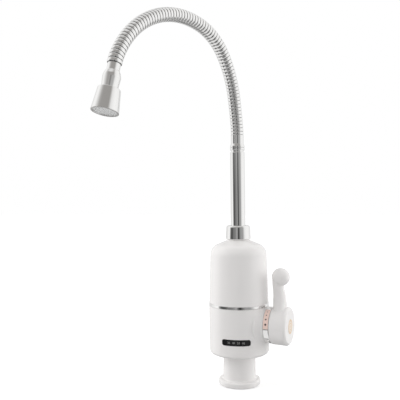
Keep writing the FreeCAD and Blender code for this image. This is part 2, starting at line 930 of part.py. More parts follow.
def heater_tank():
    inner = tank_radius - tank_wall
    floor = tank_bottom + tank_floor
    bore = outlet_tube_radius + seat
    body = turned([
        (bore, tank_bottom - tank_sleeve),
        (tank_sleeve_radius, tank_bottom - tank_sleeve),
        (tank_sleeve_radius, tank_bottom),
        (tank_radius, tank_bottom, tank_wall),
        (tank_radius, tank_top - tank_flange_height),
        (tank_flange_radius, tank_top - tank_flange_height),
        (tank_flange_radius, tank_top),
        (inner, tank_top),
        (inner, floor),
        (bore, floor),
    ])
    pad_place = vector(0, inner, cutout_height)
    pad = Part.makeCylinder(cutout_radius, tank_wall + cutout_pad, pad_place, vector(0, 1, 0))
    body = joined([body, pad])
    seal_outer = inner + tank_seal_width + 2 * seat
    ring_place = tank_bottom - tank_sleeve / 2
    cuts = [
        tube(seal_outer, inner, tank_top - tank_seal_height, tank_top),
        tube(bore + 2 * ring_wire, outlet_tube_radius, ring_place - ring_wire, ring_place + ring_wire),
        terminal_rods(terminal_radius + seat)[0],
    ]
    bolts = around(rod(lid_screw_radius + seat, tank_top - tank_flange_height, tank_top),
                   lid_screw_count, lid_screw_circle, 180 / lid_screw_count)
    return body.cut(cuts + bolts)


def outlet_o_ring():
    return seal_ring(outlet_tube_radius + ring_wire, ring_wire - seat, tank_bottom - tank_sleeve / 2)


def tank_seal():
    inner = tank_radius - tank_wall
    return tube(inner + tank_seal_width + seat, inner + seat, tank_top - tank_seal_height, tank_top)


def tank_lid():
    bore = pipe_radius + running
    body = turned([
        (pipe_bore, tank_top),
        (tank_flange_radius, tank_top),
        (tank_flange_radius, tank_top + lid_height, band_edge),
        (nipple_radius, tank_top + lid_height),
        (nipple_radius, nipple_top),
        (bore, nipple_top),
        (bore, pipe_bottom - free),
        (pipe_bore, pipe_bottom - free),
    ])
    bolts = around(rod(lid_screw_radius + seat, tank_top, tank_top + lid_height),
                   lid_screw_count, lid_screw_circle, 180 / lid_screw_count)
    return body.cut(bolts + [terminal_rods(terminal_radius + seat)[1]])


def lid_screws():
    head = tank_top + lid_height
    screw = turned([
        (0, tank_top - tank_flange_height),
        (lid_screw_radius, tank_top - tank_flange_height),
        (lid_screw_radius, head),
        (lid_screw_head_radius, head),
        (lid_screw_head_radius, head + lid_screw_head, lid_screw_head / 2),
        (0, head + lid_screw_head),
    ])
    return Part.makeCompound(around(screw, lid_screw_count, lid_screw_circle, 180 / lid_screw_count))


def coil_point(turn):
    """Point on the heating coil's centre line and the line's direction there, at a turn in radians."""
    climb = coil_pitch / (2 * math.pi)
    height = coil_bottom + climb * turn
    point = vector(coil_radius * math.cos(turn), coil_radius * math.sin(turn), height)
    direction = vector(-coil_radius * math.sin(turn), coil_radius * math.cos(turn), climb)
    return point, direction.normalize()


def bend(start, knee, end):
    """Arc from start to end whose tangents there meet at the knee, as far from one as from the other."""
    weight = ((end - start).Length / 2) / (knee - start).Length
    middle = (start + knee * (2 * weight) + end) * (1 / (2 + 2 * weight))
    return Part.Arc(start, middle, end).toShape()


def heating_coil():
    """Helix of half turns, each two arcs that meet in line, with a round wire swept along it."""
    edges = []
    for half in range(coil_half_turns):
        start, start_way = coil_point(math.pi * half)
        end, end_way = coil_point(math.pi * (half + 1))
        chord = end - start
        ways = start_way + end_way
        a = 2 * (1 - start_way.dot(end_way))
        b = 2 * chord.dot(ways)
        reach = (-b + math.sqrt(b * b + 4 * a * chord.dot(chord))) / (2 * a)
        first = start + start_way * reach
        second = end - end_way * reach
        joint = (first + second) * 0.5
        edges += [bend(start, first, joint), bend(joint, second, end)]
    point, way = coil_point(0)
    section = Part.Wire(Part.makeCircle(coil_wire_radius, point, way))
    least = coil_pitch * math.cos(math.atan2(coil_pitch, 2 * math.pi * coil_radius)) - 2 * coil_wire_radius
    print("heating coil: least gap between turns %.2f mm" % least)
    return Part.Wire(edges).makePipeShell([section], True, False)


def coil_terminals():
    return Part.makeCompound(terminal_rods(terminal_radius))


def thermal_cutout():
    start = tank_radius + cutout_pad
    return Part.makeCylinder(cutout_radius, cutout_depth, vector(0, start, cutout_height), vector(0, 1, 0))


def terminal_block():
    corner = vector(-block_length / 2, block_front, plate_top)
    block = Part.makeBox(block_length, block_depth, block_height, corner)
    middle = vector(0, block_front + block_depth / 2, plate_top + block_height / 2)
    poles = []
    for index in (-1, 0, 1):
        place = middle + vector(index * block_pole_spacing, 0, 0)
        poles.append(Part.makeCylinder(block_pole_radius, block_height / 2, place))
    return block.cut(poles)


def cable_gland():
    """Bush in the lower casing's rear wall, with a saddle-shaped flange outside it."""
    flange = gland_rod(gland_flange_radius, casing_bore, casing_radius + gland_stand)
    flange = flange.cut(rod(casing_radius + seat, casing_bottom, band_bottom))
    neck = gland_rod(gland_radius, casing_bore - gland_inside, casing_radius + gland_stand)
    return joined([flange, neck]).cut(gland_rod(cord_hole_radius, 0, 2 * casing_radius))


# Spout

def spout_nut():
    bore = nipple_radius + seat
    mouth = pipe_radius + free
    return turned([
        (bore, casing_top),
        (nut_radius, casing_top, band_edge),
        (nut_radius - nut_taper, nut_top, nut_edge),
        (mouth, nut_top),
        (mouth, nut_top - nut_lip),
        (bore, nut_top - nut_lip),
    ])


def spout_pipe():
    groove = pipe_radius - ring_wire
    corners = [(pipe_bore, pipe_bottom), (pipe_radius, pipe_bottom)]
    for place in ring_places:
        corners += [
            (pipe_radius, place - ring_wire / 2 - seat),
            (groove, place - ring_wire / 2 - seat),
            (groove, place + ring_wire / 2 + seat),
            (pipe_radius, place + ring_wire / 2 + seat),
        ]
    collar = nipple_top + seat
    corners += [
        (pipe_radius, collar),
        (pipe_collar_radius, collar),
        (pipe_collar_radius, collar + pipe_collar_height),
        (pipe_radius, collar + pipe_collar_height),
        (pipe_radius, pipe_top, pipe_edge),
        (pipe_bore, pipe_top),
    ]
    return turned(corners)


def spout_o_rings():
    radius = pipe_radius - ring_wire / 2
    return Part.makeCompound([seal_ring(radius, ring_wire / 2, place) for place in ring_places])


def hose_ferrule():
    slot_bottom = bead_bottom + bead_slot_height
    slot_top = slot_bottom + bead_slot
    return turned([
        (water_tube_radius + seat, pipe_top - ferrule_spigot),
        (pipe_bore - seat, pipe_top - ferrule_spigot),
        (pipe_bore - seat, pipe_top),
        (ferrule_neck_radius, pipe_top),
        (ferrule_neck_radius, bead_bottom),
        (bead_radius, bead_bottom, bead_rounding),
        (bead_radius, slot_bottom),
        (bead_radius - bead_slot_depth, slot_bottom),
        (bead_radius - bead_slot_depth, slot_top),
        (bead_radius, slot_top),
        (bead_radius, slot_top + bead_crest, 2 * bead_rounding),
        (ferrule_radius, bead_top, bead_rounding),
        (ferrule_radius, ferrule_top, bead_groove),
        (hose_tail_radius + seat, ferrule_top),
        (hose_tail_radius + seat, ferrule_top - hose_tail - seat),
        (water_tube_radius + seat, ferrule_top - hose_tail - seat),
    ])


def hose_frame(distance):
    """Place on the gooseneck's centre line: Z along the line, and X square to the plane of its bends."""
    turn = math.radians(spout_heading)
    outward = vector(-math.sin(turn), -math.cos(turn), 0)
    reach = 0.0
    height = ferrule_top + min(distance, 0)
    angle = math.pi / 2
    left = max(distance, 0)
    for radius, bend_turn in hose_bends:
        step = min(left / radius, math.radians(bend_turn))
        reach += radius * (math.sin(angle) - math.sin(angle - step))
        height += radius * (math.cos(angle - step) - math.cos(angle))
        angle -= step
        left -= radius * step
    way = outward * math.cos(angle) + up * math.sin(angle)
    place = outward * reach + up * height + way * left
    return FreeCAD.Placement(place, FreeCAD.Rotation(outward.cross(up), vector(), way, "ZXY"))


def hose_circle(radius, distance):
    circle = Part.Wire(Part.makeCircle(radius))
    circle.Placement = hose_frame(distance)
    return circle


def gooseneck(number):
    """One length of the ribbed hose, from the middle of a groove to the middle of a later one."""
    first = number * ribs_per_length
    last = first + ribs_per_length
    circles = []
    bores = []
    if number == 0:
        circles += [(hose_tail_radius, -hose_tail), (hose_tail_radius, 0)]
    for rib in range(first, last):
        start = rib * rib_pitch + groove_width / 2
        end = (rib + 1) * rib_pitch - groove_width / 2
        circles += [
            (groove_radius, start),
            (rib_radius, start + rib_flank),
            (rib_radius, end - rib_flank),
            (groove_radius, end),
        ]
        bores.append((hose_bore, start))
    if number == hose_lengths - 1:
        circles += [(hose_tail_radius, hose_length), (hose_tail_radius, hose_length + hose_tail)]
    bores[0] = (hose_bore, circles[0][1])
    bores.append((hose_bore, circles[-1][1]))
    outside = Part.makeLoft([hose_circle(*circle) for circle in circles], True, True)
    return outside.cut(Part.makeLoft([hose_circle(*circle) for circle in bores], True, True))


def hose_path(start, end):
    """Wire along the gooseneck's centre line, with a straight run before and after its bends."""
    marks = [0.0]
    for radius, bend_turn in hose_bends:
        marks.append(marks[-1] + radius * math.radians(bend_turn))
    edges = [Part.LineSegment(hose_frame(start).Base, hose_frame(0).Base).toShape()]
    for low, high in zip(marks, marks[1:]):
        points = [hose_frame(place).Base for place in (low, (low + high) / 2, high)]
        edges.append(Part.Arc(*points).toShape())
    edges.append(Part.LineSegment(hose_frame(hose_length).Base, hose_frame(end).Base).toShape())
    return Part.Wire(edges)


def water_tube():
    """Soft inner hose that carries the water through the gooseneck."""
    start = pipe_top - ferrule_spigot - ferrule_top
    path = hose_path(start, hose_length + adapter_tube_seat)
    outside = path.makePipeShell([hose_circle(water_tube_radius, start)], True, False)
    return outside.cut(path.makePipeShell([hose_circle(water_tube_bore, start)], True, False))


# Nozzle, made along Z and set on the gooseneck's end

def on_hose_end(shape):
    copy = shape.copy()
    copy.Placement = hose_frame(hose_length)
    return copy


def nozzle_adapter():
    spigot_end = adapter_length + adapter_spigot
    return on_hose_end(turned([
        (hose_tail_radius + seat, 0),
        (adapter_neck_radius, 0, bead_groove),
        (adapter_pinch_radius, adapter_pinch, adapter_wall),
        (adapter_shoulder_radius, adapter_shoulder, adapter_wall),
        (adapter_bulge_radius, adapter_bulge, adapter_bulge_radius),
        (adapter_foot_radius, adapter_length),
        (adapter_spigot_radius, adapter_length),
        (adapter_spigot_radius, spigot_end),
        (water_tube_bore, spigot_end),
        (water_tube_bore, adapter_tube_seat + seat),
        (water_tube_radius + seat, adapter_tube_seat + seat),
        (water_tube_radius + seat, hose_tail + seat),
        (hose_tail_radius + seat, hose_tail + seat),
    ]))


def nozzle_bore(place):
    """Inner radius of the nozzle's cone at a distance from the gooseneck's end."""
    share = (place - adapter_length) / nozzle_length
    return nozzle_top_radius + (nozzle_rim_radius - nozzle_top_radius) * share - nozzle_wall


def nozzle_shell():
    end = adapter_length + nozzle_length
    ceiling = adapter_length + nozzle_shoulder
    return on_hose_end(turned([
        (adapter_spigot_radius + seat, adapter_length),
        (nozzle_top_radius, adapter_length, nozzle_edge),
        (nozzle_rim_radius, end, nozzle_edge / 2),
        (nozzle_bore(end), end),
        (nozzle_bore(ceiling), ceiling),
        (adapter_spigot_radius + seat, ceiling),
    ]))


def nozzle_washer():
    start = adapter_length + adapter_spigot
    return on_hose_end(tube(adapter_spigot_radius, water_tube_bore, start, start + washer_height))


def aerator_core():
    """Cup that the water swirls in, between the washer and the spray plate."""
    start = adapter_length + adapter_spigot + washer_height
    end = adapter_length + nozzle_length - screen_recess - screen_height
    top_radius = nozzle_bore(start) - seat
    end_radius = nozzle_bore(end) - seat
    return on_hose_end(turned([
        (water_tube_bore, start),
        (top_radius, start),
        (end_radius, end),
        (end_radius - core_wall, end),
        (top_radius - core_wall, start + core_wall),
        (water_tube_bore, start + core_wall),
    ]))


def aerator_screen():
    end = adapter_length + nozzle_length - screen_recess
    start = end - screen_height
    plate = turned([
        (0, start),
        (nozzle_bore(start) - seat, start),
        (nozzle_bore(end) - seat, end),
        (0, end),
    ])
    return on_hose_end(plate.cut(hole_rings(screen_hole_radius, screen_ring_step, screen_rings, start, end)))


builders = [
    mount_base, base_gasket, inlet_fitting, inlet_strainer, neck_nut,
    lower_casing, casing_screws, trim_ring, upper_casing, display_window, display_board,
    valve_body, inlet_o_ring, cartridge_seal, fixed_disc, moving_disc, cartridge_body, cartridge_nut,
    valve_stem, control_lever, lever_screw, knob_cap, dial_ring,
    membrane, membrane_cover, press_pin, switch_button, microswitch, switch_screws,
    heater_tank, outlet_o_ring, tank_seal, tank_lid, lid_screws, heating_coil, coil_terminals,
    thermal_cutout, terminal_block, cable_gland,
    spout_nut, spout_pipe, spout_o_rings, hose_ferrule, water_tube,
    nozzle_adapter, nozzle_shell, nozzle_washer, aerator_core, aerator_screen,
]
pieces = {builder.__name__: builder() for builder in builders}
for number in range(hose_lengths):
    pieces["gooseneck_%d" % (number + 1)] = gooseneck(number)

os.makedirs("parts", exist_ok=True)
for name, shape in pieces.items():
    print("%-18s solids %d valid %s volume %.1f" % (name, len(shape.Solids), shape.isValid(), shape.Volume))
    shape.exportStep("parts/%s.step" % name)
for number in range(1, hose_lengths):
    hinge = hose_frame(number * ribs_per_length * rib_pitch).Base
    print("gooseneck hinge %d at %.4f %.4f %.4f" % (number, hinge.x, hinge.y, hinge.z))
print("rib pitch %.3f, hose length %.1f" % (rib_pitch, hose_length))
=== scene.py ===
import math

import bpy
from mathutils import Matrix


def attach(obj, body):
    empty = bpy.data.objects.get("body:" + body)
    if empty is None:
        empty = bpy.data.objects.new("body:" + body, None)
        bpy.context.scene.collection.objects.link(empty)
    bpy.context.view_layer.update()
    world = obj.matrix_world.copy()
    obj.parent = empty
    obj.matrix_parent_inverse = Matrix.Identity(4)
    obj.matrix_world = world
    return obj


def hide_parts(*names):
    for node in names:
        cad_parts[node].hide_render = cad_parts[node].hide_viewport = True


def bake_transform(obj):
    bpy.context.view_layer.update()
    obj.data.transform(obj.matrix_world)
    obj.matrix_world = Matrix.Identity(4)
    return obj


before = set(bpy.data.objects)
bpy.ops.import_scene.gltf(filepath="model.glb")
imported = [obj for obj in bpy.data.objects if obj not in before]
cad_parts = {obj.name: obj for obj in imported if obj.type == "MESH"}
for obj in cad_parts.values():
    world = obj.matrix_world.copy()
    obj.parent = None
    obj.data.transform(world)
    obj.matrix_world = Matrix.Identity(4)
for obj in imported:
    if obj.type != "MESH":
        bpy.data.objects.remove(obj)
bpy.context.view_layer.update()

# Base: the foot and neck are one moulding of glossy white plastic, hollow for the inlet. It stands on a black
# rubber gasket, pressed into a groove under its flange. Like every finish here, the plastic has two close
# tones, patchy gloss and a fine skin, which come from one node group with its own values.
grain_fineness = 9.0
cloud_fineness = 0.2
marks = bpy.data.node_groups.new("surface_marks", "ShaderNodeTree")
for socket, kind in (("Vector", "Vector"), ("Scale", "Float"), ("Smooth", "Float"), ("Rough", "Float")):
    marks.interface.new_socket(socket, in_out="INPUT", socket_type="NodeSocket" + kind)
for socket in ("Roughness", "Height", "Tint"):
    marks.interface.new_socket(socket, in_out="OUTPUT", socket_type="NodeSocketFloat")


def new_node(tree, kind, **values):
    """New node of a kind in a tree, with the values of its sockets by their names."""
    made = tree.nodes.new("ShaderNode" + kind)
    for socket, value in values.items():
        made.inputs[socket.replace("_", " ")].default_value = value
    return made


def calc(tree, operation, first, second=0.0, third=0.0):
    """Output of a Math node whose terms are sockets or plain numbers."""
    made = tree.nodes.new("ShaderNodeMath")
    made.operation = operation
    for place, term in enumerate((first, second, third)):
        if isinstance(term, bpy.types.NodeSocket):
            tree.links.new(term, made.inputs[place])
        else:
            made.inputs[place].default_value = term
    return made.outputs[0]


def mixed(tree, share, first, second):
    """Output of a colour mix from the first to the second, which are sockets or plain colours."""
    made = tree.nodes.new("ShaderNodeMix")
    made.data_type = "RGBA"
    tree.links.new(share, made.inputs[0])
    for place, colour in ((6, first), (7, second)):
        if isinstance(colour, bpy.types.NodeSocket):
            tree.links.new(colour, made.inputs[place])
        else:
            made.inputs[place].default_value = (*colour, 1.0)
    return made.outputs[2]


given = marks.nodes.new("NodeGroupInput")
result = marks.nodes.new("NodeGroupOutput")
patches = new_node(marks, "TexNoise", Detail=4.0, Roughness=0.6)
grain = new_node(marks, "TexNoise", Detail=2.0)
clouds = new_node(marks, "TexNoise", Detail=1.0)
for noise, fineness in ((patches, 1.0), (grain, grain_fineness), (clouds, cloud_fineness)):
    marks.links.new(given.outputs["Vector"], noise.inputs["Vector"])
    marks.links.new(calc(marks, "MULTIPLY", given.outputs["Scale"], fineness), noise.inputs["Scale"])
gloss = new_node(marks, "MapRange", From_Min=0.3, From_Max=0.7)
marks.links.new(patches.outputs[0], gloss.inputs["Value"])
marks.links.new(given.outputs["Smooth"], gloss.inputs["To Min"])
marks.links.new(given.outputs["Rough"], gloss.inputs["To Max"])
marks.links.new(gloss.outputs[0], result.inputs["Roughness"])
marks.links.new(grain.outputs[0], result.inputs["Height"])
marks.links.new(clouds.outputs[0], result.inputs["Tint"])


def finish(name, tone, deep_tone, scale, smooth, rough, relief, metallic=0.0):
    """Material of one finish between two close tones, with its gloss and the depth of its skin in metres."""
    material = bpy.data.materials.new(name)
    material.use_nodes = True
    tree = material.node_tree
    shader = tree.nodes["Principled BSDF"]
    shader.inputs["Metallic"].default_value = metallic
    place = tree.nodes.new("ShaderNodeTexCoord")
    skin = tree.nodes.new("ShaderNodeGroup")
    skin.node_tree = marks
    for socket, value in (("Scale", scale), ("Smooth", smooth), ("Rough", rough)):
        skin.inputs[socket].default_value = value
    bump = new_node(tree, "Bump", Strength=0.5, Distance=relief)
    tree.links.new(place.outputs["Object"], skin.inputs["Vector"])
    tree.links.new(skin.outputs["Roughness"], shader.inputs["Roughness"])
    tree.links.new(skin.outputs["Height"], bump.inputs["Height"])
    tree.links.new(bump.outputs["Normal"], shader.inputs["Normal"])
    tree.links.new(mixed(tree, skin.outputs["Tint"], tone, deep_tone), shader.inputs["Base Color"])
    return material


def dress(material, *names):
    """Gives solids of the part a material."""
    for name in names:
        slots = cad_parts[name].data.materials
        slots.clear()
        slots.append(material)


white_plastic = finish("white_plastic", tone=(0.878, 0.86, 0.85), deep_tone=(0.853, 0.835, 0.825),
                       scale=160, smooth=0.14, rough=0.22, relief=0.000012)
rubber = finish("black_rubber", tone=(0.022, 0.022, 0.023), deep_tone=(0.045, 0.044, 0.043),
                scale=500, smooth=0.55, rough=0.75, relief=0.00004)
dress(white_plastic, "mount_base")
dress(rubber, "base_gasket")

# Inlet: a turned brass fitting with a G1/2 thread inside, pressed into the base, and a punched steel strainer
# in a seat at the thread's end. The thread is cut by a pointed tool that climbs 14 turns to the inch.
thread_pitch = 0.001814
thread_radius = 0.0093
thread_depth = 0.001
thread_start = -0.001
thread_turns = 8.5
turn_steps = 32
tool_flattening = 0.75
merge_distance = 0.000001
sharp_edge = math.radians(30)
brass = finish("turned_brass", tone=(0.69, 0.51, 0.22), deep_tone=(0.58, 0.42, 0.18),
               scale=300, smooth=0.18, rough=0.34, relief=0.00001, metallic=1.0)
steel = finish("plain_steel", tone=(0.56, 0.56, 0.57), deep_tone=(0.47, 0.47, 0.48),
               scale=400, smooth=0.24, rough=0.42, relief=0.00001, metallic=1.0)


def take(piece):
    """Selects one piece alone and makes it the active one."""
    bpy.ops.object.select_all(action="DESELECT")
    piece.select_set(True)
    bpy.context.view_layer.objects.active = piece


def copy_of(piece, name):
    """Copy of a piece with a mesh of its own, selected alone."""
    twin = bpy.data.objects.new(name, piece.data.copy())
    bpy.context.collection.objects.link(twin)
    take(twin)
    return twin


def close_mesh(merge=0.0):
    """Merges the active mesh's doubles, closes its holes and turns its faces outwards."""
    bpy.ops.object.mode_set(mode="EDIT")
    bpy.ops.mesh.select_all(action="SELECT")
    if merge:
        bpy.ops.mesh.remove_doubles(threshold=merge)
    bpy.ops.mesh.fill_holes(sides=0)
    bpy.ops.mesh.normals_make_consistent(inside=False)
    bpy.ops.object.mode_set(mode="OBJECT")


def cut_with(piece, tool):
    """Cuts a piece with a closed tool, and removes the tool."""
    cut = piece.modifiers.new("cut", "BOOLEAN")
    cut.operation = "DIFFERENCE"
    cut.solver = "EXACT"
    cut.object = tool
    take(piece)
    bpy.ops.object.modifier_apply(modifier="cut")
    bpy.data.objects.remove(tool)


tool_point = (thread_radius, 0, thread_start)
bpy.ops.object.select_all(action="DESELECT")
bpy.ops.mesh.primitive_circle_add(vertices=4, radius=thread_depth, location=tool_point,
                                  rotation=(math.pi / 2, 0, 0))
tool = bpy.context.object
bpy.ops.object.transform_apply(location=True, rotation=True)
bpy.ops.object.mode_set(mode="EDIT")
bpy.ops.transform.resize(value=(1, 1, tool_flattening), center_override=tool_point)
bpy.ops.object.mode_set(mode="OBJECT")
climb = tool.modifiers.new("climb", "SCREW")
climb.angle = 2 * math.pi * thread_turns
climb.screw_offset = thread_pitch * thread_turns
climb.steps = climb.render_steps = int(turn_steps * thread_turns)
bpy.ops.object.modifier_apply(modifier="climb")
close_mesh()
inlet = copy_of(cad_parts["inlet_fitting"], "threaded_inlet")
close_mesh(merge_distance)
cut_with(inlet, tool)
bpy.ops.object.shade_smooth_by_angle(angle=sharp_edge)
inlet.data.materials.clear()
inlet.data.materials.append(brass)
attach(inlet, "tap_body")
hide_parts("inlet_fitting")
dress(steel, "inlet_strainer")

# Lower casing: a thin glossy white cup with a flared boss for the lever. A plastic nut clamps it on the neck,
# two steel screws come up through its floor, and a rubber bush in its rear wall leads to a terminal block.
inner_plastic = finish("grey_moulding", tone=(0.5, 0.51, 0.53), deep_tone=(0.43, 0.44, 0.46),
                       scale=220, smooth=0.38, rough=0.55, relief=0.00003)
dress(white_plastic, "lower_casing")
dress(inner_plastic, "neck_nut", "terminal_block")
dress(rubber, "cable_gland")

# Casing screws: two round-headed steel screws, sunk into the casing's floor, with a cross cut into the head
# for the driver. One is drawn out of a disc, and the other is its copy.
screw_circle = 0.022
screw_heading = math.radians(150)
screw_bottom = 0.0327
screw_top = 0.0466
screw_length = screw_top - screw_bottom
head_flat = 0.0021
head_radius = 0.0029
head_height = 0.0016
shank_radius = 0.0015
tip_radius = 0.0011
tip_height = 0.0004
cross_length = 0.0036
cross_width = 0.0007
cross_depth = 0.0009
screw_outline = ((0.0025, 0.00015), (0.0028, 0.00045), (head_radius, 0.0008), (head_radius, head_height),
                 (shank_radius, head_height), (shank_radius, screw_length - tip_height),
                 (tip_radius, screw_length))


def draw_out(start, radius, outline):
    """Extrudes the selected ring up along Z, from its height and radius, through rings of (radius, rise)."""
    rise = 0.0
    for next_radius, next_rise in outline:
        bpy.ops.mesh.extrude_region_move(TRANSFORM_OT_translate={"value": (0, 0, next_rise - rise)})
        grow = next_radius / radius
        radius, rise = next_radius, next_rise
        bpy.ops.transform.resize(value=(grow, grow, 1), center_override=(0, 0, start + rise))


bpy.ops.object.select_all(action="DESELECT")
bpy.ops.mesh.primitive_circle_add(vertices=32, radius=head_flat, fill_type="NGON",
                                  location=(0, 0, screw_bottom))
screws = bpy.context.object
screws.name = "crosshead_screws"
bpy.ops.object.transform_apply(location=True)
bpy.ops.object.mode_set(mode="EDIT")
bpy.ops.mesh.select_all(action="SELECT")
draw_out(screw_bottom, head_flat, screw_outline)
bpy.ops.object.mode_set(mode="OBJECT")
close_mesh()
for width, length in ((cross_width, cross_length), (cross_length, cross_width)):
    bpy.ops.object.select_all(action="DESELECT")
    bpy.ops.mesh.primitive_cube_add(size=1, location=(0, 0, screw_bottom),
                                    scale=(width, length, 2 * cross_depth))
    cut_with(screws, bpy.context.object)
second_screw = copy_of(screws, "second_screw")
for screw, side in ((screws, 1), (second_screw, -1)):
    take(screw)
    reach = side * screw_circle
    screw.location = (reach * math.cos(screw_heading), reach * math.sin(screw_heading), 0)
    bpy.ops.object.transform_apply(location=True)
take(screws)
second_screw.select_set(True)
bpy.ops.object.join()
bpy.ops.object.shade_smooth_by_angle(angle=sharp_edge)
screws.data.materials.append(steel)
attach(screws, "tap_body")
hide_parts("casing_screws")

# Valve: a grey moulded body with the riser to the heater. Its cartridge is a turned brass housing with two
# lapped ceramic discs on a rubber seal, clamped by a brass nut.
ceramic = finish("lapped_ceramic", tone=(0.88, 0.86, 0.81), deep_tone=(0.82, 0.8, 0.75),
                 scale=350, smooth=0.2, rough=0.32, relief=0.000005)
dress(inner_plastic, "valve_body")
dress(rubber, "inlet_o_ring", "cartridge_seal")
dress(ceramic, "fixed_disc", "moving_disc")
dress(brass, "cartridge_body", "cartridge_nut")

# Pressure switch: a rubber membrane under a moulded cover, a push pin, and a black microswitch with its
# button, held between the cover's cheeks by two steel screws.
switch_plastic = finish("black_moulding", tone=(0.03, 0.03, 0.031), deep_tone=(0.05, 0.05, 0.05),
                        scale=260, smooth=0.35, rough=0.5, relief=0.00003)
dress(rubber, "membrane")
dress(inner_plastic, "membrane_cover", "press_pin")
dress(switch_plastic, "microswitch", "switch_button")
dress(steel, "switch_screws")

# Display: a bar of glossy black plastic, let into the casing's front flush with it, over a green circuit
# board. Four grey numbers are printed on the bar and follow its curve.
display_heading = math.radians(15)
display_radius = 0.0312
display_height = 0.0491
number_size = 0.0028
print_lift = 0.0004
print_thickness = 0.00004
black_window = finish("black_window", tone=(0.009, 0.009, 0.01), deep_tone=(0.014, 0.014, 0.015),
                      scale=90, smooth=0.05, rough=0.1, relief=0.000004)
board = finish("green_lacquer", tone=(0.03, 0.2, 0.08), deep_tone=(0.02, 0.14, 0.05),
               scale=300, smooth=0.25, rough=0.4, relief=0.00002)
number_print = finish("grey_print", tone=(0.38, 0.38, 0.37), deep_tone=(0.31, 0.31, 0.3),
                      scale=600, smooth=0.4, rough=0.5, relief=0.000004)
dress(black_window, "display_window")
dress(board, "display_board")
bpy.ops.object.select_all(action="DESELECT")
bpy.ops.object.text_add(rotation=(math.pi / 2, 0, display_heading))
numbers = bpy.context.object
numbers.name = "display_numbers"
numbers.data.body = "30   40   50   60"
numbers.data.size = number_size
numbers.data.align_x = "CENTER"
numbers.data.align_y = "CENTER"
stand = display_radius + print_lift
numbers.location = (stand * math.sin(display_heading), -stand * math.cos(display_heading), display_height)
bpy.ops.object.convert(target="MESH")
bpy.ops.object.transform_apply(location=True, rotation=True, scale=True)
wrap = numbers.modifiers.new("wrap", "SHRINKWRAP")
wrap.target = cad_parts["display_window"]
wrap.wrap_mode = "ABOVE_SURFACE"
wrap.offset = print_thickness / 4
coat = numbers.modifiers.new("coat", "SOLIDIFY")
coat.thickness = print_thickness
coat.offset = 1.0
for step in ("wrap", "coat"):
    bpy.ops.object.modifier_apply(modifier=step)
numbers.data.materials.append(number_print)
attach(numbers, "tap_body")

# Dial: a chrome ring between the casing's boss and the knob. A salmon scale is printed on its front, from the
# knob's axis up, with four dark dots that grow towards hot.
knob_height = 0.0635
dial_radius = 0.0184
dial_middle = 0.0346
scale_middle = math.radians(32)
scale_half_turn = math.radians(34)
scale_half_width = 0.0026
scale_dullness = 0.25
salmon = (0.92, 0.7, 0.63)
dot_ink = (0.03, 0.02, 0.02)
dots = ((55, 0.0004), (42, 0.0006), (28, 0.0008), (12, 0.001))
chrome = finish("polished_chrome", tone=(0.91, 0.905, 0.895), deep_tone=(0.87, 0.865, 0.855),
                scale=70, smooth=0.03, rough=0.075, relief=0.000002, metallic=1.0)


def axes_of(tree, vector):
    """X, Y and Z of a vector socket, as sockets."""
    split = tree.nodes.new("ShaderNodeSeparateXYZ")
    tree.links.new(vector, split.inputs[0])
    return split.outputs[0], split.outputs[1], split.outputs[2]


dial_chrome = chrome.copy()
dial_chrome.name = "printed_dial"
tree = dial_chrome.node_tree
shader = tree.nodes["Principled BSDF"]
x, y, z = axes_of(tree, tree.nodes["Texture Coordinate"].outputs["Object"])
rise = calc(tree, "SUBTRACT", z, knob_height)
turn = calc(tree, "ARCTAN2", rise, calc(tree, "MULTIPLY", y, -1.0))
along = calc(tree, "SUBTRACT", x, dial_middle)
scale_ends = calc(tree, "COMPARE", turn, scale_middle, scale_half_turn)
scale = calc(tree, "MULTIPLY", scale_ends, calc(tree, "COMPARE", along, 0.0, scale_half_width))
inked = 0.0
for degrees, radius in dots:
    aside = calc(tree, "MULTIPLY", calc(tree, "SUBTRACT", turn, math.radians(degrees)), dial_radius)
    squares = calc(tree, "ADD", calc(tree, "POWER", aside, 2), calc(tree, "POWER", along, 2))
    inked = calc(tree, "MAXIMUM", calc(tree, "LESS_THAN", calc(tree, "SQRT", squares), radius), inked)
plain = shader.inputs["Base Color"].links[0].from_socket
printed = mixed(tree, scale, plain, salmon)
tree.links.new(mixed(tree, inked, printed, dot_ink), shader.inputs["Base Color"])
tree.links.new(calc(tree, "SUBTRACT", 1.0, scale), shader.inputs["Metallic"])
polish = shader.inputs["Roughness"].links[0].from_socket
tree.links.new(calc(tree, "MULTIPLY_ADD", scale, scale_dullness, polish), shader.inputs["Roughness"])
dress(dial_chrome, "dial_ring")

# Lever: the knob and its upright arm are one glossy white moulding on the flat of the brass stem, held by a
# steel screw. The inlay that covers the screw is printed with plain orange and cream rings, which start at
# shares of a span from the knob's axis.
ring_span = 0.01
ring_starts = ((0.0, 1), (0.13, 0), (0.25, 1), (0.4, 0), (0.49, 1), (0.72, 0))
ring_orange = (0.8, 0.6, 0.42)
cap_print = finish("ring_print", tone=(0.86, 0.83, 0.78), deep_tone=(0.82, 0.79, 0.73),
                   scale=200, smooth=0.15, rough=0.24, relief=0.000006)
tree = cap_print.node_tree
shader = tree.nodes["Principled BSDF"]
y, z = axes_of(tree, tree.nodes["Texture Coordinate"].outputs["Object"])[1:]
rise = calc(tree, "SUBTRACT", z, knob_height)
squares = calc(tree, "ADD", calc(tree, "POWER", y, 2), calc(tree, "POWER", rise, 2))
rings = tree.nodes.new("ShaderNodeValToRGB")
rings.color_ramp.interpolation = "CONSTANT"
tree.links.new(calc(tree, "DIVIDE", calc(tree, "SQRT", squares), ring_span), rings.inputs[0])
stops = rings.color_ramp.elements
for index, (start, orange) in enumerate(ring_starts):
    stop = stops[0] if index == 0 else stops.new(start)
    stop.position = start
    stop.color = (orange, orange, orange, 1.0)
stops.remove(stops[-1])
plain = shader.inputs["Base Color"].links[0].from_socket
